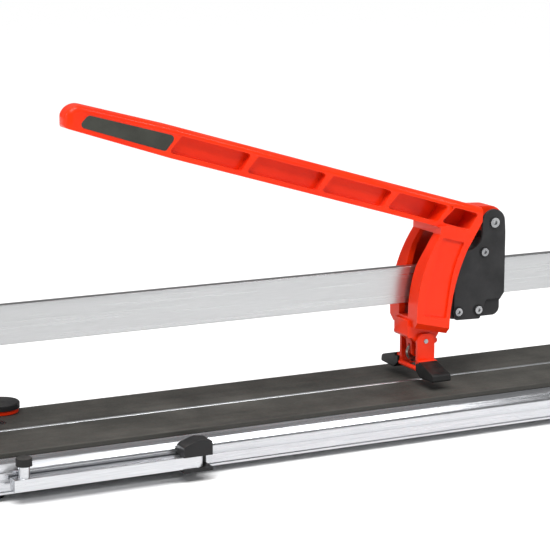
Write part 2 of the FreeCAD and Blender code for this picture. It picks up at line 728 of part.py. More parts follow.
# the window that the rail runs through, and the hollow behind the cheeks
cheek_inner = s.head_half - s.cheek_wall
wide_half = s.window_half + s.window_flare
lever.pocket("YZ", leg_left - 5, off(0), [
    (-s.window_half, web_top), (s.window_half, web_top), (s.window_half, pivot_z - 44),
    (wide_half, pivot_z - 24), (wide_half, neck_top), (-wide_half, neck_top),
    (-wide_half, pivot_z - 24), (-s.window_half, pivot_z - 44)])
lever.pocket("XZ", -cheek_inner, cheek_inner, [
    (leg_left + s.leg_wall, web_top - 1.4), (leg_right + 12, web_top - 9), (off(-6), pivot_z - 30),
    (off(-6), lever_low(off(-6)) + 2), (off(-71.5) + s.leg_wall, lever_low(off(-71.5) + s.leg_wall) + 2),
    (off(-71.6) + s.leg_wall, neck_top, "arc", 150)])


# pockets along both sides, each leaning with the lever's ribs
POCKETS = ((-366, -288), (-280, -201), (-193, -122), (-114, -60.5), (-54, -24))
for start, end in POCKETS:
    x0, x1 = off(start), off(end)
    lower0, lower1 = x0 - s.rib_lean, x1 - s.rib_lean * 0.8
    for way in (-1, 1):
        low, high = (-s.head_half - 1, -s.pocket_web) if way < 0 else (s.pocket_web, s.head_half + 1)
        lever.pocket("XZ", low, high, [
            (lower0, lever_low(lower0) + s.pocket_low_rim, "round", s.pocket_round),
            (lower1, lever_low(lower1) + s.pocket_low_rim, "round", s.pocket_round),
            (x1, lever_high(x1) - s.pocket_high_rim, "round", s.pocket_round),
            (x0, lever_high(x0) - s.pocket_high_rim, "round", s.pocket_round)])

# seats for the grip inlays
grip = [
    (off(-477), lever_low(off(-477)) + 8, "round", 4), (off(-384), lever_low(off(-384)) + 5.8, "round", 4),
    (off(-372), lever_high(off(-372)) - 9.5, "round", 4),
    (off(-466), lever_high(off(-466)) - 11.5, "round", 5),
]
seat = s.handle_half - s.inlay_depth
for way in (-1, 1):
    low, high = (-s.handle_half, -seat) if way < 0 else (seat, s.handle_half)
    lever.pocket("XZ", low, high, grip)

# shallow panels on the outside of the cheeks
for way in (-1, 1):
    low, high = ((-s.head_half, -s.head_half + s.panel_depth) if way < 0
                 else (s.head_half - s.panel_depth, s.head_half))
    lever.pocket("XZ", low, high, [
        (off(-91.7), web_top + 4.2, "round", 2), (off(-63.4), web_top - 1.6, "round", 2),
        (off(-59.5), rail_low + 12, "arc", -150), (off(-41.4), pivot_z - 17.7, "round", 2),
        (off(-69), pivot_z - 10.5, "round", 2), (off(-90.3), rail_low + 6, "round", 30)])

# lug round the pivot bolt, neck, hub and wheel holder
bush_radius = s.pivot_bolt_radius + s.bush_wall
lever.pad("XZ", -s.lug_half, s.lug_half, [
    (off(-23), pivot_z - 1), (off(-10), pivot_z - 9), (off(0), pivot_z - s.lug_half), (off(9.5), pivot_z - 9),
    (off(s.pivot_cover), pivot_z, "arc", s.pivot_cover), (off(0), pivot_z + s.pivot_cover),
    (off(-23), lever_high(off(-23)) - 2)])
lever.pocket("XZ", -s.lug_half - 1, s.lug_half + 1, Circle(s.pivot_x, pivot_z, bush_radius))
neck_half = s.ear_inner - s.swing_gap
neck_left, neck_right = pin_x - 20.5, pin_x + 18
lever.pad("XZ", -neck_half, neck_half, [
    (neck_left, pin_z + 9), (pin_x - 5, pin_z - 5, "round", 3), (pin_x + 6, pin_z - 5, "round", 3),
    (neck_right - 4, pin_z), (neck_right, pin_z + 6), (neck_right + 2, web_top - 8),
    (neck_left, web_top - 3)])
lever.pad("XZ", -neck_half, neck_half, Circle(pin_x - 17.5, pin_z + 7.5, 3.4))
lever.pad("XZ", -neck_half, neck_half, Circle(pin_x + 13.5, pin_z - 1, 3.4))
tine = s.tine_half
lever.pad("XZ", -tine, tine, [
    (wheel_x - 6, wheel_z - 4, "round", 4), (wheel_x + 7, wheel_z - 4, "round", 4),
    (wheel_x + 10, pin_z + 8), (wheel_x - 8, pin_z + 8)])
lever.pocket("XZ", -s.wheel_thickness / 2 - 0.4, s.wheel_thickness / 2 + 0.4,
             Circle(wheel_x, wheel_z, s.wheel_radius + 1.2))
lever.pocket("XZ", -tine - 1, tine + 1, Circle(wheel_x, wheel_z, s.axle_radius + s.running_fit))
lever.pocket("XZ", -neck_half - 1, neck_half + 1, Circle(pin_x, pin_z, s.foot_pin_radius + s.running_fit))
keep(lever)

for name, way in SIDES:
    pad = Piece(f"{name}_grip_inlay")
    low, high = (-s.handle_half - s.inlay_proud, -seat) if way < 0 else (seat, s.handle_half + s.inlay_proud)
    pad.pad("XZ", low, high, grip)
    keep(pad)
    bush = Piece(f"{name}_pivot_bush")
    reach = s.plate_outer - s.plate_thickness - s.running_fit
    low, high = (-reach, -s.lug_half + 4) if way < 0 else (s.lug_half - 4, reach)
    bush.pad("XZ", low, high, Circle(s.pivot_x, pivot_z, bush_radius),
             Circle(s.pivot_x, pivot_z, s.pivot_bolt_radius + s.running_fit))
    low, high = (-reach, -s.lug_half) if way < 0 else (s.lug_half, reach)
    bush.pad("XZ", low, high, Circle(s.pivot_x, pivot_z, s.bush_collar),
             Circle(s.pivot_x, pivot_z, s.pivot_bolt_radius + s.running_fit))
    keep(bush)


def return_spring():
    """A torsion spring of round wire, wound round the front bush with one leg on the lever."""
    wire, coil, turns = 1.0, 10.4, 2.0
    pitch = wire * 2 + 0.25
    helix = Part.makeHelix(pitch, pitch * turns, coil)
    start = helix.Edges[0].valueAt(helix.Edges[0].FirstParameter)
    heading = helix.Edges[0].tangentAt(helix.Edges[0].FirstParameter)
    profile = Part.Wire(Part.makeCircle(wire, start, heading))
    solid = Part.Wire(helix.Edges).makePipeShell([profile], True, True)
    feature = doc.addObject("Part::Feature", "lever_return_spring")
    feature.Shape = solid
    feature.Label = "lever_return_spring"
    feature.Placement = FreeCAD.Placement(V(), TURN["Y"])
    tie(feature, ".Placement.Base.x", s.pivot_x)
    tie(feature, ".Placement.Base.y", -s.lug_half - pitch * turns - wire - 0.25)
    tie(feature, ".Placement.Base.z", pivot_z)
    return feature


keep(return_spring())

# ---------------------------------------------------------------- scoring wheel
half_wheel = s.wheel_thickness / 2
keep(without("scoring_wheel", joined(
    "WheelBlank", cone("Y", wheel_x, -half_wheel, wheel_z, s.wheel_radius - 1.6, s.wheel_radius, half_wheel),
    cone("Y", wheel_x, 0, wheel_z, s.wheel_radius, s.wheel_radius - 1.6, half_wheel)),
    rod("Y", wheel_x, -half_wheel - 1, wheel_z, s.axle_radius + s.running_fit, s.wheel_thickness + 2)))
keep(joined("wheel_axle", rod("Y", wheel_x, -tine - 0.5, wheel_z, s.axle_radius, tine * 2 + 1),
            rod("Y", wheel_x, -tine - 1.5, wheel_z, 3.8, 1.45)))

# ---------------------------------------------------------------- breaker foot
ear_outer = s.ear_inner + s.ear_thickness
ear_left, ear_right = pin_x - 10.6, pin_x + 11
ear_low = pin_z - 22
fork = Piece("breaker_fork")
for way in (-1, 1):
    low, high = (-ear_outer, -s.ear_inner) if way < 0 else (s.ear_inner, ear_outer)
    fork.pad("XZ", low, high, [
        (ear_left, ear_low - 10, "round", 2), (ear_left, pin_z + 8.3, "round", 8),
        (ear_right, pin_z + 8.3, "round", 8), (ear_right, ear_low - 10, "round", 2)])
bar_x, bar_z = pin_x - 13, ear_low - 8.5
fork.pad("XZ", -ear_outer, ear_outer, Circle(bar_x + 3.4, bar_z, 2.6))
for way in (-1, 1):
    low, high = (-ear_outer - 6, -s.ear_inner - 1) if way < 0 else (s.ear_inner + 1, ear_outer + 6)
    fork.pad("YZ", ear_left, ear_right, rectangle(low, high, ear_low - 1.5, ear_low + 1))
fork.pocket("XZ", -ear_outer - 1, ear_outer + 1, Circle(pin_x, pin_z, s.foot_pin_radius + s.running_fit))
keep(fork)
pad_low = bed + s.pad_above_bed
for name, way in SIDES:
    wing = Piece(f"{name}_breaker_pad")
    side = dim(way)
    wing.pad("YZ", ear_left - 2.4, ear_right - 1.2, [
        ((ear_outer + 0.1) * side, ear_low - 1.6), ((ear_outer + 6.2) * side, ear_low - 1.6),
        ((ear_outer + 6.2) * side, ear_low + 1.2), ((ear_outer + 9) * side, ear_low + 0.8, "round", 2),
        ((s.pad_reach - 1.5) * side, pad_low + 8, "round", 5), (s.pad_reach * side, pad_low, "round", 2.4),
        ((ear_outer + 9) * side, pad_low - 1, "round", 6), ((ear_outer + 0.1) * side, ear_low - 9)])
    keep(wing)
keep(joined("breaker_pin", rod("Y", pin_x, -ear_outer - 0.6, pin_z, s.foot_pin_radius, ear_outer * 2 + 1.2),
            rod("Y", pin_x, ear_outer + 0.1, pin_z, s.foot_pin_radius + 1.5, 1)))

# ---------------------------------------------------------------- swing-out supports
arm_low = bed - s.arm_below_bed
for end, end_way in ENDS:
    for side_name, way in SIDES:
        name = f"{side_name}_{end}"
        px, py = arm_x * end_way, arm_y * way
        bracket = Piece(f"{name}_arm_bracket")
        in_y, out_y = half_width + s.running_fit, arm_y + 9
        back_wall = arm_y - s.arm_half - 0.8
        low, high = (-out_y, -in_y) if way < 0 else (in_y, out_y)
        wide = s.bracket_half
        dome = bed - (s.front_dome_drop if way < 0 else s.rear_dome_drop)
        bracket.pad("XZ", low, high, [
            (px - wide * end_way, arm_low - 4), (px - wide * end_way, dome - 2, "round", 3),
            (px - 2 * end_way, dome, "round", 12), (px + wide * end_way, dome - 6, "round", 4),
            (px + wide * end_way, arm_low - 4)])
        bracket.pocket("XY", arm_low - s.running_fit, arm_low + s.arm_height + s.running_fit, [
            (px - wide * end_way * 2, back_wall * way), (px - wide * end_way * 2, (out_y + 1) * way),
            (px + wide * end_way * 2, (out_y + 1) * way), (px + wide * end_way * 2, back_wall * way)])
        pin_hole = Circle(px, py, s.arm_pin_radius + s.running_fit)
        bracket.pocket("XY", arm_low - 5, arm_low + s.arm_height + 4.2, pin_hole)
        keep(bracket)
        arm = Piece(f"{name}_support_arm")
        tip = arm_x + s.arm_length
        x0, x1 = (px, tip) if end_way > 0 else (-tip, px)
        arm.pad("XY", arm_low, arm_low + s.arm_height, rectangle(x0, x1, py - s.arm_half, py + s.arm_half))
        arm.pad("XY", arm_low, arm_low + s.arm_height, Circle(px, py, s.arm_half + 0.5))
        pad_x = (tip - s.arm_tip_inset) * end_way
        arm.pad("XY", arm_low + s.arm_height - 1, bed - 8, Circle(pad_x, py, s.arm_half - 1.5))
        arm.pocket("XY", arm_low - 1, arm_low + s.arm_height + 1, pin_hole)
        keep(arm)
        rest = Piece(f"{name}_arm_pad")
        rest.pad("XY", bed - 8, bed, Circle(pad_x, py, s.arm_half + 1))
        rest.fillet(1.2, lambda e: is_round(e) and e.CenterOfMass.z > bed.value - 0.01)
        keep(rest)
keep(group("arm_pivot_pins", *[
    rod("Z", arm_x * i, arm_y * j, arm_low - 4, s.arm_pin_radius, s.arm_height + 8)
    for i in (-1, 1) for j in (-1, 1)]))

# ---------------------------------------------------------------- angle fence at the rear left corner
fence_low = bed + s.assembly_fit
fence_top = fence_low + s.fence_thickness
fence = Piece("fence_arm")
fence.pad("XY", fence_low, fence_top, Circle(fence_x, fence_y, s.fence_disc_radius - 1.5))
fence_end = fence_x - s.fence_reach
fence_shoulder = fence_x - s.fence_disc_radius - 2
block_top = fence_top + s.fence_step
fence_front, fence_back = fence_y - s.fence_half, fence_y + s.fence_half
fence.pad("XY", fence_low, block_top, rectangle(fence_end, fence_shoulder, fence_front, fence_back))
fence.pad("XY", fence_low, fence_top,
          rectangle(fence_shoulder - s.fence_step, fence_x, fence_front, fence_back))
fence.pocket("XY", fence_low - 1, block_top + 1, Circle(fence_x, fence_y, 4 + s.running_fit))
keep(fence)
rule = Piece("fence_rule")
rule.pad("XY", block_top, block_top + 1.2, rectangle(
    fence_end + 3, fence_shoulder - 2, fence_front + 3, fence_back - 3, 2))
keep(rule)
knob = Piece("fence_knob")
knob_low = fence_top + s.assembly_fit
knob.pad("XY", knob_low, knob_low + s.knob_height, Circle(fence_x, fence_y, s.fence_disc_radius))
knob.fillet(2, lambda e: is_round(e) and e.CenterOfMass.z > knob_low.value + 1)
knob.pocket("XY", knob_low - 1, knob_low + s.knob_height - 2.5, Circle(fence_x, fence_y, 4))
keep(knob)
bolt_foot = deck - s.bed_wall - 6
bolt_length = knob_low + s.knob_height - 3 - bolt_foot
keep(joined("fence_pivot_bolt", rod("Z", fence_x, fence_y, bolt_foot, s.stud_radius, bolt_length),
            rod("Z", fence_x, fence_y, bolt_foot, 7, 2.9)))
doc.recompute()


def check_all():
    """Stops on any feature that failed and on any sub-part that is not a valid shape."""
    failed = [o.Name for o in doc.Objects if any(word in o.State for word in ("Invalid", "Error"))]
    if failed:
        raise RuntimeError(f"failed features: {failed}")
    for node in nodes:
        if node.Shape.isNull() or not node.Shape.isValid():
            raise RuntimeError(f"{node.Label}: not a valid shape")


check_all()
os.makedirs("parts", exist_ok=True)
for node in nodes:
    node.Shape.exportStep(f"parts/{node.Label}.step")
print(len(nodes), "nodes written")
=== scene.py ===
"""Dresses the tile cutter: enamelled lever and posts, drawn aluminium bed, brushed rail and rubber mats.

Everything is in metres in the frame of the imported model: +X along the rail, +Y to the back, +Z up.
"""

import json
import logging
import math
from dataclasses import dataclass
from enum import Enum

import bmesh
import bpy
import numpy as np
from mathutils import Matrix, Vector

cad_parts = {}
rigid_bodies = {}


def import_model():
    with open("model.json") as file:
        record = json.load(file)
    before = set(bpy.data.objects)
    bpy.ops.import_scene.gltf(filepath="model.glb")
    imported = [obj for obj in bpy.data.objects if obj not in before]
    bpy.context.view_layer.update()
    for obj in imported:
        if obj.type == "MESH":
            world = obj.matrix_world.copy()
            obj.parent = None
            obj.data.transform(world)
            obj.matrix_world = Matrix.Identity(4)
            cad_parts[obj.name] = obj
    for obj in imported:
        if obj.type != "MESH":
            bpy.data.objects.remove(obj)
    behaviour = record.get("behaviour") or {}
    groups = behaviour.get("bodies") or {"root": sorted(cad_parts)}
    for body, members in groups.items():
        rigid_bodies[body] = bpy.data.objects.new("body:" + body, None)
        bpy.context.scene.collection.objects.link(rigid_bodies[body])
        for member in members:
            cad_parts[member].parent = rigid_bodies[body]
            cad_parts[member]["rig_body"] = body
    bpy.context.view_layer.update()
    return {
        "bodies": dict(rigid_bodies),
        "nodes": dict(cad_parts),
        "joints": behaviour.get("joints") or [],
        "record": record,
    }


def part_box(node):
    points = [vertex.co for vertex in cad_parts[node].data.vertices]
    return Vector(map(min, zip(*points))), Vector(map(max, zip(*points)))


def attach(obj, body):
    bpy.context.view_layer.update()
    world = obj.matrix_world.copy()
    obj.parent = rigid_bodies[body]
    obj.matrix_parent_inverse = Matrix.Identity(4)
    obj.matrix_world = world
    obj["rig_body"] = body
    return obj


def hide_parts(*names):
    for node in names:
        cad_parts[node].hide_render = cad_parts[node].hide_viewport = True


LOG = logging.getLogger("tile_cutter")
MM = 0.001
Colour = tuple[float, float, float]
Triple = tuple[float, float, float]


def paint(red: int, green: int, blue: int) -> Colour:
    """Turns a colour on the usual 0 to 255 scale into linear light.

    Args:
        red: Red part.
        green: Green part.
        blue: Blue part.

    Returns:
        The three linear parts, each ((c + 0.055) / 1.055) to the power 2.4 for all but the darkest.
    """
    parts = np.array([red, green, blue]) / 255
    linear = np.where(parts < 0.04045, parts / 12.92, ((parts + 0.055) / 1.055) ** 2.4)
    return tuple(float(part) for part in linear)


class Kind(Enum):
    """What a node group's socket carries."""

    NUMBER = "NodeSocketFloat"
    VECTOR = "NodeSocketVector"


class Slot(Enum):
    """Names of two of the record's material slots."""

    BLACK_PLATE = "black_plate"
    BLACK_PLASTIC = "black_plastic"


# ---------------------------------------------------------------- node trees
class Graph:
    """Short calls that add and link shader nodes."""

    def __init__(self, tree: bpy.types.NodeTree) -> None:
        """Starts on an empty tree.

        Args:
            tree: The tree that the nodes go in.
        """
        self.tree = tree
        tree.nodes.clear()

    def add(self, kind: str, **settings: object) -> bpy.types.Node:
        """Adds one node.

        Args:
            kind: The node's type name.
            **settings: Properties to set on it.

        Returns:
            The node.
        """
        node = self.tree.nodes.new(kind)
        for key, value in settings.items():
            setattr(node, key, value)
        return node

    def put(self, source: object, socket: bpy.types.NodeSocket) -> None:
        """Links a socket or sets a plain value.

        Args:
            source: A socket, a number or a colour.
            socket: The input that takes it.
        """
        if isinstance(source, bpy.types.NodeSocket):
            self.tree.links.new(source, socket)
        elif isinstance(source, tuple) and len(socket.default_value) > len(source):
            socket.default_value = (*source, 1.0)
        else:
            socket.default_value = source

    def math(self, operation: str, *values: object, clamp: bool = False) -> bpy.types.NodeSocket:
        """Adds a Math node.

        Args:
            operation: What it works out.
            *values: Its inputs, in order.
            clamp: Whether the result stays from 0 to 1.

        Returns:
            The result's socket.
        """
        node = self.add("ShaderNodeMath", operation=operation, use_clamp=clamp)
        for value, socket in zip(values, node.inputs):
            self.put(value, socket)
        return node.outputs[0]

    def vector(self, operation: str, *values: object) -> bpy.types.Node:
        """Adds a Vector Math node.

        Args:
            operation: What it works out.
            *values: Its inputs, in order.

        Returns:
            The node.
        """
        node = self.add("ShaderNodeVectorMath", operation=operation)
        for value, socket in zip(values, node.inputs):
            self.put(value, socket)
        return node

    def noise(self, coordinates: object, scale: object, detail: float,
              rough: float) -> bpy.types.NodeSocket:
        """Adds a Noise Texture.

        Args:
            coordinates: Where it is read.
            scale: How fine it is, in features for each metre.
            detail: How many octaves it has.
            rough: How strong the fine octaves are.

        Returns:
            The factor's socket, about 0.5 on average.
        """
        node = self.add("ShaderNodeTexNoise")
        self.put(coordinates, node.inputs["Vector"])
        self.put(scale, node.inputs["Scale"])
        node.inputs["Detail"].default_value = detail
        node.inputs["Roughness"].default_value = rough
        return node.outputs["Fac"]

    def spread(self, value: object, low: float, high: float, to_low: float,
               to_high: float) -> bpy.types.NodeSocket:
        """Adds a Map Range node, clamped.

        Args:
            value: What is mapped.
            low: The value that becomes to_low.
            high: The value that becomes to_high.
            to_low: One end of the result.
            to_high: The other end.

        Returns:
            The result's socket.
        """
        node = self.add("ShaderNodeMapRange")
        for source, socket in zip((value, low, high, to_low, to_high), node.inputs):
            self.put(source, socket)
        return node.outputs[0]

    def mix(self, factor: object, first: object, second: object) -> bpy.types.NodeSocket:
        """Adds a colour mix.

        Args:
            factor: How much of the second colour shows.
            first: A colour or a socket.
            second: A colour or a socket.

        Returns:
            The colour's socket.
        """
        node = self.add("ShaderNodeMix", data_type="RGBA")
        self.put(factor, node.inputs[0])
        self.put(first, node.inputs[6])
        self.put(second, node.inputs[7])
        return node.outputs[2]


class Effects:
    """The surface effects that several finishes share, each a node group that is built once."""

    BROAD_STREAKS = 0.12
    COARSE_SKIN = 0.22
    SKIN_TONE = 0.02
    FINE_SHARE = 0.6
    EDGE_REACH = 0.7 * MM
    RING_NOISE = 300.0
    RING_DRIFT = 3.0

    _built: dict[str, bpy.types.NodeTree] = {}

    @classmethod
    def _group(cls, name: str, inputs: dict[str, object],
               outputs: tuple[str, ...]) -> tuple[Graph, dict, dict]:
        """Makes an empty node group with its sockets.

        Args:
            name: The group's name.
            inputs: Each input's name, and Kind.VECTOR or its usual number.
            outputs: The outputs' names; each carries a number.

        Returns:
            The graph, the input sockets and the output sockets, both by name.
        """
        tree = bpy.data.node_groups.new(name, "ShaderNodeTree")
        graph = Graph(tree)
        for label, usual in inputs.items():
            kind = usual if isinstance(usual, Kind) else Kind.NUMBER
            socket = tree.interface.new_socket(name=label, in_out="INPUT", socket_type=kind.value)
            if kind is Kind.NUMBER:
                socket.default_value = usual
        for label in outputs:
            tree.interface.new_socket(name=label, in_out="OUTPUT", socket_type=Kind.NUMBER.value)
        start, end = graph.add("NodeGroupInput"), graph.add("NodeGroupOutput")
        cls._built[name] = tree
        return graph, start.outputs, end.inputs

    @classmethod
    def streaks(cls) -> bpy.types.NodeTree:
        """Long drawn or brushed lines: noise read on stretched coordinates, fine and broad."""
        if "Streaks" in cls._built:
            return cls._built["Streaks"]
        graph, given, made = cls._group(
            "Streaks", {"Coordinates": Kind.VECTOR, "Stretch": Kind.VECTOR, "Scale": 400.0},
            ("Fine", "Broad"))
        drawn = graph.vector("MULTIPLY", given["Coordinates"], given["Stretch"]).outputs[0]
        graph.put(graph.noise(drawn, given["Scale"], detail=5.0, rough=0.65), made["Fine"])
        broad = graph.math("MULTIPLY", given["Scale"], cls.BROAD_STREAKS)
        graph.put(graph.noise(drawn, broad, detail=2.0, rough=0.5), made["Broad"])
        return cls._built["Streaks"]

    @classmethod
    def edge_wear(cls) -> bpy.types.NodeTree:
        """Rubbed edges: where a rounded normal leaves the flat one, broken up by noise."""
        if "Edge wear" in cls._built:
            return cls._built["Edge wear"]
        graph, given, made = cls._group(
            "Edge wear", {"Coordinates": Kind.VECTOR, "Scale": 260.0, "Amount": 0.5}, ("Mask",))
        rounded = graph.add("ShaderNodeBevel", samples=4)
        rounded.inputs["Radius"].default_value = cls.EDGE_REACH
        flat = graph.add("ShaderNodeNewGeometry").outputs["Normal"]
        match = graph.vector("DOT_PRODUCT", rounded.outputs[0], flat).outputs["Value"]
        bulge = graph.spread(match, 0.8, 0.98, 1.0, 0.0)
        speckle = graph.noise(given["Coordinates"], given["Scale"], detail=4.0, rough=0.6)
        broken = graph.spread(speckle, 0.38, 0.62, 0.0, 1.0)
        worn = graph.math("MULTIPLY", graph.math("MULTIPLY", bulge, broken), given["Amount"], clamp=True)
        graph.put(worn, made["Mask"])
        return cls._built["Edge wear"]

    @classmethod
    def texture(cls) -> bpy.types.NodeTree:
        """Fine skin of a coating or a moulding: two sizes of noise for height and a slow one for tone."""
        if "Skin" in cls._built:
            return cls._built["Skin"]
        graph, given, made = cls._group(
            "Skin", {"Coordinates": Kind.VECTOR, "Scale": 900.0}, ("Height", "Tone"))
        fine = graph.noise(given["Coordinates"], given["Scale"], detail=3.0, rough=0.55)
        coarser = graph.math("MULTIPLY", given["Scale"], cls.COARSE_SKIN)
        coarse = graph.noise(given["Coordinates"], coarser, detail=2.0, rough=0.5)
        height = graph.math("ADD", graph.math("MULTIPLY", fine, cls.FINE_SHARE),
                            graph.math("MULTIPLY", coarse, 1.0 - cls.FINE_SHARE))
        graph.put(height, made["Height"])
        slow = graph.math("MULTIPLY", given["Scale"], cls.SKIN_TONE)
        graph.put(graph.noise(given["Coordinates"], slow, detail=3.0, rough=0.55), made["Tone"])
        return cls._built["Skin"]

    @classmethod
    def dust(cls) -> bpy.types.NodeTree:
        """A trace of grey dust on faces that look up, in soft patches."""
        if "Dust" in cls._built:
            return cls._built["Dust"]
        graph, given, made = cls._group(
            "Dust", {"Coordinates": Kind.VECTOR, "Scale": 22.0, "Amount": 0.1}, ("Mask",))
        facing = graph.add("ShaderNodeSeparateXYZ")
        graph.put(graph.add("ShaderNodeNewGeometry").outputs["Normal"], facing.inputs[0])
        up = graph.spread(facing.outputs[2], 0.4, 1.0, 0.0, 1.0)
        cloud = graph.noise(given["Coordinates"], given["Scale"], detail=5.0, rough=0.6)
        patches = graph.spread(cloud, 0.4, 0.7, 0.0, 1.0)
        settled = graph.math("MULTIPLY", up, patches)
        graph.put(graph.math("MULTIPLY", settled, given["Amount"], clamp=True), made["Mask"])
        return cls._built["Dust"]

    @classmethod
    def turning(cls) -> bpy.types.NodeTree:
        """Lathe marks: rings about an axis along Y, the sine of the distance from the centre."""
        if "Turning" in cls._built:
            return cls._built["Turning"]
        graph, given, made = cls._group(
            "Turning", {"Coordinates": Kind.VECTOR, "Centre": Kind.VECTOR, "Rings": 9000.0}, ("Height",))
        apart = graph.vector("SUBTRACT", given["Coordinates"], given["Centre"]).outputs[0]
        flat = graph.vector("MULTIPLY", apart, (1.0, 0.0, 1.0)).outputs[0]
        reach = graph.vector("LENGTH", flat).outputs["Value"]
        wobble = graph.noise(flat, cls.RING_NOISE, detail=2.0, rough=0.5)
        uneven = graph.math("ADD", graph.math("MULTIPLY", reach, given["Rings"]),
                            graph.math("MULTIPLY", wobble, cls.RING_DRIFT))
        wave = graph.math("MULTIPLY", graph.math("SINE", uneven), 0.5)
        graph.put(graph.math("ADD", wave, 0.5), made["Height"])
        return cls._built["Turning"]


class Surface:
    """One material in the making: a Principled shader, its coordinates and its shared effects."""

    def __init__(self, name: str) -> None:
        """Starts a material with a shader wired to the output.

        Args:
            name: The material's name.
        """
        self.material = bpy.data.materials.new(name)
        self.material.use_nodes = True
        self.graph = Graph(self.material.node_tree)
        self.shader = self.graph.add("ShaderNodeBsdfPrincipled")
        self.graph.put(self.shader.outputs[0], self.graph.add("ShaderNodeOutputMaterial").inputs[0])
        self.coordinates = self.graph.add("ShaderNodeTexCoord").outputs["Object"]

    def effect(self, tree: bpy.types.NodeTree, **values: object) -> bpy.types.NodeOutputs:
        """Places a shared effect.

        Args:
            tree: The node group.
            **values: Its inputs, by name.

        Returns:
            The group's outputs.
        """
        node = self.graph.add("ShaderNodeGroup", node_tree=tree)
        self.graph.put(self.coordinates, node.inputs["Coordinates"])
        for key, value in values.items():
            self.graph.put(value, node.inputs[key])
        return node.outputs

    def set(self, **values: object) -> None:
        """Sets or links shader inputs, with underscores for the spaces in their names.

        Args:
            **values: Values or sockets by input.
        """
        for key, value in values.items():
            self.graph.put(value, self.shader.inputs[key.replace("_", " ")])

    def bump(self, height: bpy.types.NodeSocket, strength: float, distance: float) -> None:
        """Raises the surface by a height map.

        Args:
            height: The height's socket, from 0 to 1.
            strength: How strongly it shows.
            distance: What a height of 1 stands for, in metres.
        """
        node = self.graph.add("ShaderNodeBump")
        node.inputs["Strength"].default_value = strength
        node.inputs["Distance"].default_value = distance
        self.graph.put(height, node.inputs["Height"])
        self.graph.put(node.outputs[0], self.shader.inputs["Normal"])


# ---------------------------------------------------------------- finishes
@dataclass(frozen=True)
class Enamel:
    """Gloss stoved enamel over a casting."""

    colour: Colour
    deep: Colour
    primer: Colour
    roughness: float = 0.34
    coat: float = 0.1
    coat_roughness: float = 0.1
    specular: float = 0.12
    peel: float = 650.0
    wear: float = 0.22
    dust: float = 0.05
    dust_colour: Colour = paint(205, 190, 180)

    def material(self, name: str) -> bpy.types.Material:
        """Builds the material: tone that drifts, faint orange peel, and edges where the film is thin.

        Args:
            name: The material's name.

        Returns:
            The material.
        """
        surface = Surface(name)
        graph = surface.graph
        skin = surface.effect(Effects.texture(), Scale=self.peel)
        wear = surface.effect(Effects.edge_wear(), Scale=420.0, Amount=self.wear)
        dust = surface.effect(Effects.dust(), Scale=30.0, Amount=self.dust)
        tone = graph.mix(graph.spread(skin["Tone"], 0.35, 0.65, 0.0, 1.0), self.colour, self.deep)
        worn = graph.mix(wear["Mask"], tone, self.primer)
        gloss = graph.spread(skin["Tone"], 0.3, 0.7, self.roughness - 0.04, self.roughness + 0.05)
        surface.set(Base_Color=graph.mix(dust["Mask"], worn, self.dust_colour), Roughness=gloss,
                    Coat_Weight=self.coat, Coat_Roughness=self.coat_roughness,
                    Specular_IOR_Level=self.specular)
        surface.bump(skin["Height"], 0.1, 0.25 * MM)
        return surface.material


@dataclass(frozen=True)
class DrawnMetal:
    """Metal with lines along one direction, drawn, rolled or brushed."""

    colour: Colour
    dark: Colour
    stretch: Triple = (0.02, 1.0, 1.0)
    scale: float = 1400.0
    roughness: float = 0.3
    spread: float = 0.12
    relief: float = 0.2
    anisotropic: float = 0.0
    wear: float = 0.5
    dust: float = 0.08
    bare: Colour = paint(235, 236, 238)
    dust_colour: Colour = paint(150, 148, 145)

    def material(self, name: str) -> bpy.types.Material:
        """Builds the material: streaks in tone, gloss and height, and bright edges.

        Args:
            name: The material's name.

        Returns:
            The material.
        """
        surface = Surface(name)
        graph = surface.graph
        lines = surface.effect(Effects.streaks(), Stretch=self.stretch, Scale=self.scale)
        wear = surface.effect(Effects.edge_wear(), Scale=300.0, Amount=self.wear)
        dust = surface.effect(Effects.dust(), Scale=18.0, Amount=self.dust)
        body = graph.mix(graph.spread(lines["Fine"], 0.3, 0.7, 0.0, 1.0), self.dark, self.colour)
        bright = graph.mix(wear["Mask"], body, self.bare)
        gloss = graph.spread(lines["Broad"], 0.3, 0.7, self.roughness - self.spread / 2,
                             self.roughness + self.spread / 2)
        surface.set(Base_Color=graph.mix(dust["Mask"], bright, self.dust_colour), Metallic=1.0,
                    Roughness=gloss, Anisotropic=self.anisotropic)
        surface.bump(lines["Fine"], self.relief, 0.08 * MM)
        return surface.material


@dataclass(frozen=True)
class Plating:
    """Bright zinc or nickel on small turned and headed pieces."""

    colour: Colour
    shade: Colour
    roughness: float = 0.24
    bare: Colour = paint(240, 240, 238)

    def material(self, name: str) -> bpy.types.Material:
        """Builds the material: blotchy tone, fine scratches and rubbed edges.

        Args:
            name: The material's name.

        Returns:
            The material.
        """
        surface = Surface(name)
        graph = surface.graph
        skin = surface.effect(Effects.texture(), Scale=1800.0)
        lines = surface.effect(Effects.streaks(), Stretch=(1.0, 0.2, 1.0), Scale=1500.0)
        wear = surface.effect(Effects.edge_wear(), Scale=500.0, Amount=0.4)
        body = graph.mix(graph.spread(skin["Tone"], 0.35, 0.65, 0.0, 1.0), self.colour, self.shade)
        gloss = graph.spread(lines["Fine"], 0.3, 0.7, self.roughness - 0.05, self.roughness + 0.09)
        surface.set(Base_Color=graph.mix(wear["Mask"], body, self.bare), Metallic=1.0, Roughness=gloss)
        surface.bump(lines["Fine"], 0.15, 0.04 * MM)
        return surface.material


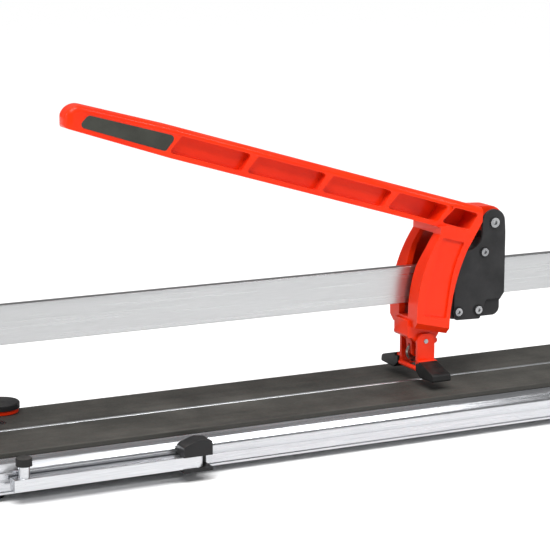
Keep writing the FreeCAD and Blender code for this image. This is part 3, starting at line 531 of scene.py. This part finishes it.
@dataclass(frozen=True)
class TurnedSteel:
    """Hardened steel turned about an axis along Y."""

    colour: Colour
    shade: Colour
    centre: Triple
    roughness: float = 0.2
    rings: float = 11000.0
    bare: Colour = paint(238, 238, 236)

    def material(self, name: str) -> bpy.types.Material:
        """Builds the material: lathe rings in height and tone, with rubbed edges.

        Args:
            name: The material's name.

        Returns:
            The material.
        """
        surface = Surface(name)
        graph = surface.graph
        rings = surface.effect(Effects.turning(), Centre=self.centre, Rings=self.rings)
        wear = surface.effect(Effects.edge_wear(), Scale=600.0, Amount=0.5)
        body = graph.mix(graph.math("MULTIPLY", rings["Height"], 0.6), self.colour, self.shade)
        gloss = graph.spread(rings["Height"], 0.0, 1.0, self.roughness - 0.04, self.roughness + 0.1)
        surface.set(Base_Color=graph.mix(wear["Mask"], body, self.bare), Metallic=1.0, Roughness=gloss)
        surface.bump(rings["Height"], 0.25, 0.03 * MM)
        return surface.material


@dataclass(frozen=True)
class Coating:
    """A dark moulding or a powder coat with a fine, even skin."""

    colour: Colour
    rubbed: Colour
    roughness: float = 0.5
    grain: float = 1200.0
    relief: float = 0.3
    wear: float = 0.3
    dust: float = 0.08
    coat: float = 0.0
    coat_roughness: float = 0.25
    specular: float = 0.2
    dust_colour: Colour = paint(170, 166, 160)

    def material(self, name: str) -> bpy.types.Material:
        """Builds the material: a pebbled skin, tone that drifts, pale rubbed edges and a trace of dust.

        Args:
            name: The material's name.

        Returns:
            The material.
        """
        surface = Surface(name)
        graph = surface.graph
        skin = surface.effect(Effects.texture(), Scale=self.grain)
        wear = surface.effect(Effects.edge_wear(), Scale=380.0, Amount=self.wear)
        dust = surface.effect(Effects.dust(), Scale=26.0, Amount=self.dust)
        lifted = tuple(min(1.0, part * 1.35 + 0.004) for part in self.colour)
        body = graph.mix(graph.spread(skin["Tone"], 0.35, 0.65, 0.0, 1.0), self.colour, lifted)
        edged = graph.mix(wear["Mask"], body, self.rubbed)
        gloss = graph.spread(skin["Height"], 0.35, 0.65, self.roughness - 0.06, self.roughness + 0.08)
        surface.set(Base_Color=graph.mix(dust["Mask"], edged, self.dust_colour), Roughness=gloss,
                    Coat_Weight=self.coat, Coat_Roughness=self.coat_roughness,
                    Specular_IOR_Level=self.specular)
        surface.bump(skin["Height"], self.relief, 0.15 * MM)
        return surface.material


@dataclass(frozen=True)
class RolledRubber:
    """Sheet rubber with a faint lengthwise grain and a fine pebble."""

    colour: Colour
    pale: Colour
    roughness: float = 0.62
    specular: float = 0.35
    scuffed: Colour = paint(110, 107, 102)
    dust_colour: Colour = paint(165, 160, 152)

    def material(self, name: str) -> bpy.types.Material:
        """Builds the material: long soft streaks under a pebbled skin, with scuffed edges.

        Args:
            name: The material's name.

        Returns:
            The material.
        """
        surface = Surface(name)
        graph = surface.graph
        lines = surface.effect(Effects.streaks(), Stretch=(0.03, 1.0, 1.0), Scale=900.0)
        skin = surface.effect(Effects.texture(), Scale=1500.0)
        wear = surface.effect(Effects.edge_wear(), Scale=300.0, Amount=0.25)
        dust = surface.effect(Effects.dust(), Scale=14.0, Amount=0.1)
        body = graph.mix(graph.spread(lines["Broad"], 0.3, 0.7, 0.0, 1.0), self.colour, self.pale)
        edged = graph.mix(wear["Mask"], body, self.scuffed)
        gloss = graph.spread(skin["Height"], 0.35, 0.65, self.roughness - 0.06, self.roughness + 0.08)
        surface.set(Base_Color=graph.mix(dust["Mask"], edged, self.dust_colour), Roughness=gloss,
                    Specular_IOR_Level=self.specular)
        height = graph.math("ADD", graph.math("MULTIPLY", lines["Fine"], 0.5),
                            graph.math("MULTIPLY", skin["Height"], 0.5))
        surface.bump(height, 0.35, 0.18 * MM)
        return surface.material


# ---------------------------------------------------------------- meshes
class Form:
    """Meshes worked out as whole arrays, and softened copies of packed ones."""

    MERGE = 1e-7
    CREASE = math.radians(32)
    PACKED_MERGE = 2e-6
    PACKED_FLAT = math.radians(0.6)
    PACKED_CREASE = math.radians(28)
    EDGE_STEPS = 2

    @staticmethod
    def grid(name: str, points: np.ndarray, wrap_u: bool, wrap_v: bool) -> bpy.types.Object:
        """Joins a grid of points into quads.

        Args:
            name: The piece's name.
            points: Points in metres, shaped (u, v, 3).
            wrap_u: Whether the last row joins the first.
            wrap_v: Whether the last column joins the first.

        Returns:
            The object, at the origin.
        """
        rows, columns = points.shape[:2]
        index = np.arange(rows * columns).reshape(rows, columns)
        if wrap_u:
            index = np.vstack([index, index[:1]])
        if wrap_v:
            index = np.hstack([index, index[:, :1]])
        quads = np.stack([index[:-1, :-1], index[1:, :-1], index[1:, 1:], index[:-1, 1:]], axis=-1)
        mesh = bpy.data.meshes.new(name)
        mesh.from_pydata(points.reshape(-1, 3), [], quads.reshape(-1, 4))
        return Form.finished(name, mesh)

    @staticmethod
    def finished(name: str, mesh: bpy.types.Mesh) -> bpy.types.Object:
        """Puts a mesh into the scene with merged points, outward faces and smooth shading.

        Args:
            name: The piece's name.
            mesh: Its mesh, in metres, in place.

        Returns:
            The object, at the origin.
        """
        edit = bmesh.new()
        edit.from_mesh(mesh)
        bmesh.ops.remove_doubles(edit, verts=edit.verts, dist=Form.MERGE)
        bmesh.ops.recalc_face_normals(edit, faces=edit.faces)
        edit.to_mesh(mesh)
        edit.free()
        mesh.shade_smooth()
        mesh.set_sharp_from_angle(angle=Form.CREASE)
        piece = bpy.data.objects.new(name, mesh)
        bpy.context.scene.collection.objects.link(piece)
        return piece

    @staticmethod
    def turned(profile: np.ndarray, centre: Vector, facets: int = 48) -> np.ndarray:
        """Points of a profile turned about Y: (r cos a, h, r sin a) for each profile point (r, h).

        Args:
            profile: Radius and height of each point, closed on itself, in metres.
            centre: Where height 0 is.
            facets: How many steps go round.

        Returns:
            Points shaped (facets, profile, 3).
        """
        turn = np.linspace(0, 2 * math.pi, facets, endpoint=False)[:, None]
        radius, height = profile[None, :, 0], profile[None, :, 1]
        across, up = radius * np.cos(turn), radius * np.sin(turn)
        along = height + np.zeros_like(turn)
        return np.stack((across, along, up), axis=-1) + np.array(centre)

    @staticmethod
    def blocks(name: str, centres: np.ndarray, halves: np.ndarray) -> bpy.types.Object:
        """Many small blocks as one piece: each centre plus or minus its half sizes, at eight corners.

        Args:
            name: The piece's name.
            centres: Middles, shaped (n, 3).
            halves: Half sizes, shaped (n, 3).

        Returns:
            The object, at the origin.
        """
        corner = np.array([(x, y, z) for x in (-1, 1) for y in (-1, 1) for z in (-1, 1)])
        faces = np.array([(0, 1, 3, 2), (4, 6, 7, 5), (0, 4, 5, 1), (2, 3, 7, 6), (0, 2, 6, 4),
                          (1, 5, 7, 3)])
        points = centres[:, None, :] + halves[:, None, :] * corner[None, :, :]
        quads = faces[None, :, :] + np.arange(len(centres))[:, None, None] * len(corner)
        mesh = bpy.data.meshes.new(name)
        mesh.from_pydata(points.reshape(-1, 3), [], quads.reshape(-1, 4))
        return Form.finished(name, mesh)

    @staticmethod
    def softened(node: bpy.types.Object, name: str, edge: float) -> bpy.types.Object:
        """Copies a node's mesh, merges its loose triangles, and rounds its sharp edges a little.

        Args:
            node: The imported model's node.
            name: The copy's name.
            edge: How wide the rounding is, in metres.

        Returns:
            The copy.
        """
        mesh = bpy.data.meshes.new(name)
        edit = bmesh.new()
        edit.from_mesh(node.data)
        bmesh.ops.remove_doubles(edit, verts=edit.verts, dist=Form.PACKED_MERGE)
        bmesh.ops.dissolve_limit(edit, angle_limit=Form.PACKED_FLAT, use_dissolve_boundaries=False,
                                 verts=edit.verts, edges=edit.edges, delimit={"NORMAL"})
        edit.to_mesh(mesh)
        edit.free()
        mesh.shade_smooth()
        mesh.set_sharp_from_angle(angle=Form.PACKED_CREASE)
        piece = bpy.data.objects.new(name, mesh)
        bpy.context.scene.collection.objects.link(piece)
        bevel = piece.modifiers.new("Rounded edges", "BEVEL")
        bevel.width = edge
        bevel.segments = Form.EDGE_STEPS
        bevel.limit_method = "ANGLE"
        bevel.angle_limit = Form.PACKED_CREASE
        bevel.harden_normals = True
        return piece


# ---------------------------------------------------------------- sub-assemblies
@dataclass
class Assembly:
    """What every sub-assembly has: the frame, and short steps to dress its pieces."""

    frame: dict

    def dress(self, material: bpy.types.Material, *names: str) -> None:
        """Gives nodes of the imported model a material.

        Args:
            material: The finish.
            *names: The nodes.
        """
        for name in names:
            node = self.frame["nodes"][name]
            node.data.materials.clear()
            node.data.materials.append(material)
            LOG.info("dressed %s in %s", name, material.name)

    def soften(self, material: bpy.types.Material, edge: float, *names: str) -> None:
        """Swaps nodes for copies with slightly rounded edges, and dresses them.

        Args:
            material: The finish.
            edge: How wide the rounding is, in metres.
            *names: The nodes.
        """
        for name in names:
            node = self.frame["nodes"][name]
            piece = Form.softened(node, f"{name}_finished", edge)
            piece.data.materials.append(material)
            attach(piece, node["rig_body"])
            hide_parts(name)
            LOG.info("rounded %s in %s", name, material.name)

    def attach(self, piece: bpy.types.Object, body: str, slot: str, material: bpy.types.Material) -> None:
        """Finishes a new piece.

        Args:
            piece: The piece.
            body: The body that it rides on.
            slot: Not used.
            material: The finish.
        """
        piece.data.materials.clear()
        piece.data.materials.append(material)
        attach(piece, body)
        LOG.info("made %s in %s", piece.name, material.name)

    def middle(self, node: str) -> Vector:
        """The middle of a node's box."""
        low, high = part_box(node)
        return (low + high) / 2


@dataclass
class Bed(Assembly):
    """The extruded bed with its mats, ridge, caps and feet."""

    edge: float = 0.4 * MM
    ridge_edge: float = 0.3 * MM
    rubber_edge: float = 0.8 * MM
    rubber: RolledRubber = RolledRubber(paint(46, 45, 42), paint(54, 53, 49))
    aluminium: DrawnMetal = DrawnMetal(paint(206, 207, 210), paint(180, 182, 186), roughness=0.26)
    ridge: DrawnMetal = DrawnMetal(paint(222, 224, 226), paint(190, 192, 195), relief=0.1)
    plastic: Coating = Coating(paint(30, 30, 31), paint(70, 70, 70), roughness=0.42)
    foot_rubber: Coating = Coating(paint(26, 26, 26), paint(60, 60, 60), roughness=0.6, grain=700.0)

    def build(self, zinc: bpy.types.Material) -> None:
        """Dresses the bed, its mats, ridge, caps and feet, with their screws and studs.

        Args:
            zinc: The fasteners' finish.
        """
        self.soften(self.aluminium.material("drawn aluminium bed"), self.edge, "bed_frame")
        self.soften(self.ridge.material("breaking ridge"), self.ridge_edge, "breaking_ridge")
        self.soften(self.rubber.material("mat rubber"), self.rubber_edge, "front_mat", "rear_mat")
        self.soften(self.plastic.material("end cap plastic"), self.edge, "left_end_cap", "right_end_cap")
        self.soften(self.foot_rubber.material("foot rubber"), self.rubber_edge, "rubber_feet")
        self.dress(zinc, "foot_screws", "mat_studs")


@dataclass
class Rail(Assembly):
    """The flat rail, its cast posts, bumpers and fasteners."""

    rail_edge: float = 0.5 * MM
    cast_edge: float = 1.2 * MM
    steel: DrawnMetal = DrawnMetal(paint(184, 185, 186), paint(170, 171, 172), stretch=(0.012, 1.0, 1.0),
                                   scale=3200.0, spread=0.1, relief=0.18, anisotropic=0.4)
    rubber: Coating = Coating(paint(28, 28, 28), paint(66, 66, 66), roughness=0.6, grain=800.0)

    def build(self, red: bpy.types.Material, zinc: bpy.types.Material) -> None:
        """Dresses the rail, posts and bumpers.

        Args:
            red: The posts' enamel.
            zinc: The fasteners' finish.
        """
        self.soften(self.steel.material("brushed rail steel"), self.rail_edge, "guide_rail")
        self.soften(red, self.cast_edge, "left_rail_post", "right_rail_post")
        self.soften(self.rubber.material("bumper rubber"), self.cast_edge, "left_bumper", "right_bumper")
        self.dress(zinc, "post_bolts", "rail_clamp_bolts", "rail_clamp_nuts")


@dataclass
class Carriage(Assembly):
    """The rolling carriage: side plates, core, three rollers and their bolts."""

    body: str = "carriage"
    rollers: tuple[str, ...] = ("upper_roller", "lower_left_roller", "lower_right_roller")
    plate_edge: float = 0.35 * MM
    core_edge: float = 0.6 * MM
    # size of the dark rings round the roller bolt heads, which are painted shadow
    shadow_washer_bore: float = 4.4 * MM
    shadow_washer_reach: float = 1.9 * MM
    shadow_washer_height: float = 0.5 * MM
    plate: Coating = Coating(paint(34, 34, 35), paint(96, 96, 96), roughness=0.55, grain=2100.0,
                             relief=0.45)
    core: Coating = Coating(paint(30, 30, 31), paint(70, 70, 70))
    # painted shadow: an extra-dark black for the rings round the roller bolt heads
    shadow: Coating = Coating(paint(22, 22, 23), paint(52, 52, 52))

    def build(self, zinc: bpy.types.Material) -> None:
        """Dresses the carriage and adds washer-shaped rings round the roller heads, their extra-dark
        black a painted shadow.

        Args:
            zinc: The fasteners' finish.
        """
        self.soften(self.plate.material("textured black plate"), self.plate_edge,
                    "carriage_front_plate", "carriage_rear_plate")
        self.soften(self.core.material("carriage plastic"), self.core_edge, "carriage_core")
        for name in self.rollers:
            turned = TurnedSteel(paint(196, 197, 200), paint(150, 151, 154), tuple(self.middle(name)))
            self.dress(turned.material(f"turned steel {name}"), name)
        self.dress(zinc, "roller_bolts", "pivot_bolt", "pivot_nut")
        self.shadow_washers()

    def shadow_washers(self) -> None:
        """Painted shadow round the roller heads on the front plate: thin flat rings darker than the
        plate, each a rectangle turned about its bolt.
        """
        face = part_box("carriage_front_plate")[0].y
        # painted shadow: a black darker than the plate, laid round each roller bolt head
        dark = self.shadow.material("painted shadow ring")
        bore, rim = self.shadow_washer_bore, self.shadow_washer_bore + self.shadow_washer_reach
        outer = -self.shadow_washer_height
        profile = np.array([(bore, 0.0), (rim, 0.0), (rim, outer), (bore, outer)])
        for name in self.rollers:
            spot = self.middle(name)
            points = Form.turned(profile, Vector((spot.x, face, spot.z)))
            ring = Form.grid(f"{name}_shadow_washer", points, True, True)
            self.attach(ring, self.body, Slot.BLACK_PLATE.value, dark)


@dataclass
class Lever(Assembly):
    """The cast lever with its grip inlays, pivot bushes, spring and scoring wheel."""

    edge: float = 0.9 * MM
    grip_edge: float = 0.5 * MM
    grip: Coating = Coating(paint(50, 51, 46), paint(90, 90, 84), roughness=0.6, grain=1600.0, wear=0.15)
    bush: Coating = Coating(paint(30, 30, 31), paint(70, 70, 70), roughness=0.4)
    wire: Plating = Plating(paint(176, 177, 180), paint(140, 141, 145), roughness=0.3)

    def build(self, red: bpy.types.Material, zinc: bpy.types.Material) -> None:
        """Dresses the lever and what it carries.

        Args:
            red: The casting's enamel.
            zinc: The fasteners' finish.
        """
        self.soften(red, self.edge, "lever_arm")
        self.soften(self.grip.material("grip rubber"), self.grip_edge,
                    "front_grip_inlay", "rear_grip_inlay")
        self.dress(self.bush.material("bush plastic"), "front_pivot_bush", "rear_pivot_bush")
        self.dress(self.wire.material("spring wire"), "lever_return_spring")
        self.dress(zinc, "wheel_axle", "breaker_pin")
        wheel = TurnedSteel(paint(170, 166, 158), paint(120, 116, 110),
                            tuple(self.middle("scoring_wheel")), roughness=0.24)
        self.dress(wheel.material("carbide wheel"), "scoring_wheel")


@dataclass
class BreakerFoot(Assembly):
    """The swinging fork and its two rubber pads."""

    fork_edge: float = 0.5 * MM
    pad_edge: float = 0.9 * MM
    rubber: Coating = Coating(paint(16, 16, 16), paint(42, 42, 42), roughness=0.46, grain=900.0,
                              coat=0.05)

    def build(self, red: bpy.types.Material) -> None:
        """Dresses the fork and the pads.

        Args:
            red: The fork's enamel.
        """
        self.soften(red, self.fork_edge, "breaker_fork")
        self.soften(self.rubber.material("pad rubber"), self.pad_edge,
                    "front_breaker_pad", "rear_breaker_pad")


@dataclass
class Supports(Assembly):
    """The four swing-out arms with their brackets, pads and pins."""

    arm_edge: float = 0.6 * MM
    bracket_edge: float = 0.7 * MM
    aluminium: DrawnMetal = DrawnMetal(paint(214, 216, 219), paint(186, 188, 191))
    plastic: Coating = Coating(paint(28, 28, 29), paint(70, 70, 70), roughness=0.38, grain=1000.0)
    rubber: Coating = Coating(paint(28, 28, 28), paint(60, 60, 60), roughness=0.62, grain=800.0)

    def build(self, zinc: bpy.types.Material) -> None:
        """Dresses the four arms.

        Args:
            zinc: The pins' finish.
        """
        corners = [f"{side}_{end}" for end in ("left", "right") for side in ("front", "rear")]
        bars = self.aluminium.material("support arm aluminium")
        mouldings = self.plastic.material("bracket plastic")
        pads = self.rubber.material("arm pad rubber")
        for corner in corners:
            self.soften(bars, self.arm_edge, f"{corner}_support_arm")
            self.soften(mouldings, self.bracket_edge, f"{corner}_arm_bracket")
            self.dress(pads, f"{corner}_arm_pad")
        self.dress(zinc, "arm_pivot_pins")


@dataclass
class Fence(Assembly):
    """The turning angle fence, its rule and its knob."""

    body: str = "fence"
    arm_edge: float = 0.6 * MM
    rule_edge: float = 0.15 * MM
    knob_edge: float = 0.4 * MM
    tick_pitch: float = 2.0 * MM
    tick_group: int = 5
    long_reach: float = 3.2 * MM
    short_reach: float = 1.9 * MM
    rule_margin: float = 2.0 * MM
    end_margins: float = 3.0 * MM
    tick_half: float = 0.18 * MM
    tick_lift: float = 0.05 * MM
    knob: Coating = Coating(paint(28, 28, 29), paint(72, 72, 72), roughness=0.42, grain=1100.0)
    aluminium: DrawnMetal = DrawnMetal(paint(218, 220, 223), paint(196, 198, 201),
                                       stretch=(1.0, 0.03, 1.0), roughness=0.32)
    ink: Coating = Coating(paint(24, 24, 24), paint(40, 40, 40), roughness=0.6)

    def build(self, red: bpy.types.Material, zinc: bpy.types.Material) -> None:
        """Dresses the fence and adds the rule's marks.

        Args:
            red: The fence's enamel.
            zinc: The bolt's finish.
        """
        self.soften(red, self.arm_edge, "fence_arm")
        self.soften(self.aluminium.material("rule aluminium"), self.rule_edge, "fence_rule")
        self.soften(self.knob.material("knob plastic"), self.knob_edge, "fence_knob")
        self.dress(zinc, "fence_pivot_bolt")
        self.marks()

    def marks(self) -> None:
        """Rule marks: bars across the rule's edge at an even pitch, each fifth one longer."""
        low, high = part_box("fence_rule")
        count = int((high.y - low.y - self.end_margins) / self.tick_pitch) + 1
        steps = np.arange(count)
        places = (low.y + high.y) / 2 + (steps - (count - 1) / 2) * self.tick_pitch
        is_long = (steps - (count - 1) // 2) % self.tick_group == 0
        reach = np.where(is_long, self.long_reach, self.short_reach)
        zeros = np.zeros(count)
        height = zeros + high.z + self.tick_lift / 2
        centres = np.stack([low.x + self.rule_margin + reach, places, height], axis=-1)
        halves = np.stack([reach, zeros + self.tick_half, zeros + self.tick_lift], axis=-1)
        self.attach(Form.blocks("fence_rule_marks", centres, halves), self.body,
                    Slot.BLACK_PLASTIC.value, self.ink.material("rule ink"))


@dataclass(frozen=True)
class Softbox:
    """One rectangular light: where it hangs, its width and height, its watts and where it looks."""

    name: str
    place: Triple
    size: tuple[float, float]
    power: float
    aim: Triple = (0.0, 0.0, 0.15)


@dataclass
class Studio:
    """Pale floor, soft lights and the camera."""

    lens: float = 128.26
    sensor: float = 36.0
    stand: Triple = (-1.030, -1.8203, 0.5836)
    heading: float = 25.96
    dip: float = 11.29
    sight_end: float = 100.0
    floor_half: float = 40.0
    floor_roughness: float = 0.85
    surround: float = 0.24
    sun_power: float = 3.2
    sun_spread: float = 40.0
    sun_way: Triple = (0.3, 0.45, -1.0)
    floor_colour: Colour = paint(246, 246, 246)
    softboxes: tuple[Softbox, ...] = (
        Softbox("left softbox", (-2.6, 0.1, 1.1), (0.9, 1.4), 20.0),
        Softbox("front softbox", (-0.4, -3.2, 1.9), (2.0, 0.9), 6.0),
        Softbox("overhead softbox", (0.0, 0.7, 2.2), (2.8, 0.8), 9.0),
        Softbox("floor softbox", (0.35, -0.85, 1.0), (0.6, 0.4), 7.0, (0.35, -0.80, 0.0)))

    def build(self) -> None:
        """Makes the floor, the lights, the sky and the camera."""
        self.floor()
        self.sky()
        self.sun()
        for softbox in self.softboxes:
            self.light(softbox)
        self.camera()
        bpy.context.scene.view_settings.view_transform = "Standard"

    def floor(self) -> None:
        """A square of pale floor: the corners of the unit square, scaled."""
        corner = np.array([[(-1, -1, 0), (-1, 1, 0)], [(1, -1, 0), (1, 1, 0)]], dtype=float)
        floor = Form.grid("studio_floor", corner * self.floor_half, False, False)
        surface = Surface("pale floor")
        surface.set(Base_Color=self.floor_colour, Roughness=self.floor_roughness)
        floor.data.materials.append(surface.material)

    def sky(self) -> None:
        """An even white surround."""
        world = bpy.data.worlds.new("soft surround")
        world.use_nodes = True
        background = world.node_tree.nodes["Background"]
        background.inputs["Color"].default_value = (1.0, 1.0, 1.0, 1.0)
        background.inputs["Strength"].default_value = self.surround
        bpy.context.scene.world = world

    def sun(self) -> None:
        """A wide, even light over the whole floor, soft enough to leave no hard shadow."""
        data = bpy.data.lights.new("broad sun", "SUN")
        data.energy = self.sun_power
        data.angle = math.radians(self.sun_spread)
        lamp = bpy.data.objects.new("broad sun", data)
        lamp.matrix_world = Vector(self.sun_way).to_track_quat("-Z", "Y").to_matrix().to_4x4()
        bpy.context.scene.collection.objects.link(lamp)

    def light(self, softbox: Softbox) -> None:
        """Hangs one softbox that looks at the cutter or the floor.

        Args:
            softbox: The softbox, with its places in metres.
        """
        data = bpy.data.lights.new(softbox.name, "AREA")
        data.shape = "RECTANGLE"
        data.size, data.size_y = softbox.size
        data.energy = softbox.power
        lamp = bpy.data.objects.new(softbox.name, data)
        turn = (Vector(softbox.aim) - Vector(softbox.place)).to_track_quat("-Z", "Y")
        lamp.matrix_world = Matrix.Translation(softbox.place) @ turn.to_matrix().to_4x4()
        bpy.context.scene.collection.objects.link(lamp)

    def camera(self) -> None:
        """Places the camera at its stand, turned by its heading and dip."""
        data = bpy.data.cameras.new("camera")
        data.lens = self.lens
        data.sensor_width = self.sensor
        data.clip_end = self.sight_end
        camera = bpy.data.objects.new("camera", data)
        turn, dip = math.radians(self.heading), math.radians(self.dip)
        sight = Vector((math.sin(turn) * math.cos(dip), math.cos(turn) * math.cos(dip), -math.sin(dip)))
        facing = sight.to_track_quat("-Z", "Y")
        camera.matrix_world = Matrix.Translation(self.stand) @ facing.to_matrix().to_4x4()
        bpy.context.scene.collection.objects.link(camera)
        bpy.context.scene.camera = camera


def main() -> None:
    """Loads the frame, dresses each sub-assembly in order and lights the scene."""
    logging.basicConfig(level=logging.INFO, format="%(name)s: %(message)s")
    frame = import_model()
    enamel = Enamel(paint(226, 48, 10), paint(216, 41, 9), paint(244, 108, 66))
    red = enamel.material("red enamel")
    zinc = Plating(paint(164, 165, 166), paint(124, 125, 128)).material("bright zinc")
    Bed(frame).build(zinc)
    Rail(frame).build(red, zinc)
    Carriage(frame).build(zinc)
    Lever(frame).build(red, zinc)
    BreakerFoot(frame).build(red)
    Supports(frame).build(zinc)
    Fence(frame).build(red, zinc)
    Studio().build()


if __name__ == "__main__":
    main()
